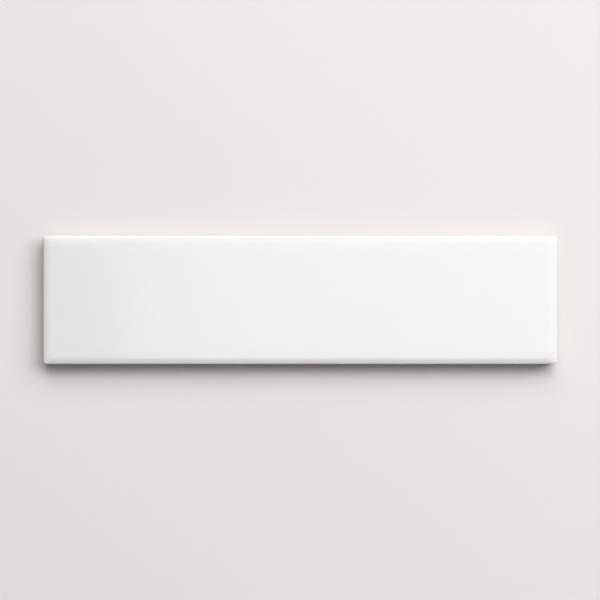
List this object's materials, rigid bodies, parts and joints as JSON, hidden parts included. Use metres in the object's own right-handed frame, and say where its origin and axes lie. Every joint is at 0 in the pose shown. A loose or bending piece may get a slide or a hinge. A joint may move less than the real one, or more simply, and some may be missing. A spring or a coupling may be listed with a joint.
{
  "type": "subway wall tile",
  "caption": "Plain rectangular wall tile, four times as long as wide, with a white glazed face, cushioned edges and a waffle back for the mortar.",
  "frame": {"origin": "middle of the tile's back, on the plane that the ribs of the back lie in", "axes": "+X along the tile's length, +Y across its width, +Z out of the glazed face"},
  "size_m": [0.3, 0.075, 0.008],
  "materials": {
    "white_glaze": "gloss"
  },
  "bodies": {
    "root": {"tile": "white_glaze"}
  },
  "joints": []
}
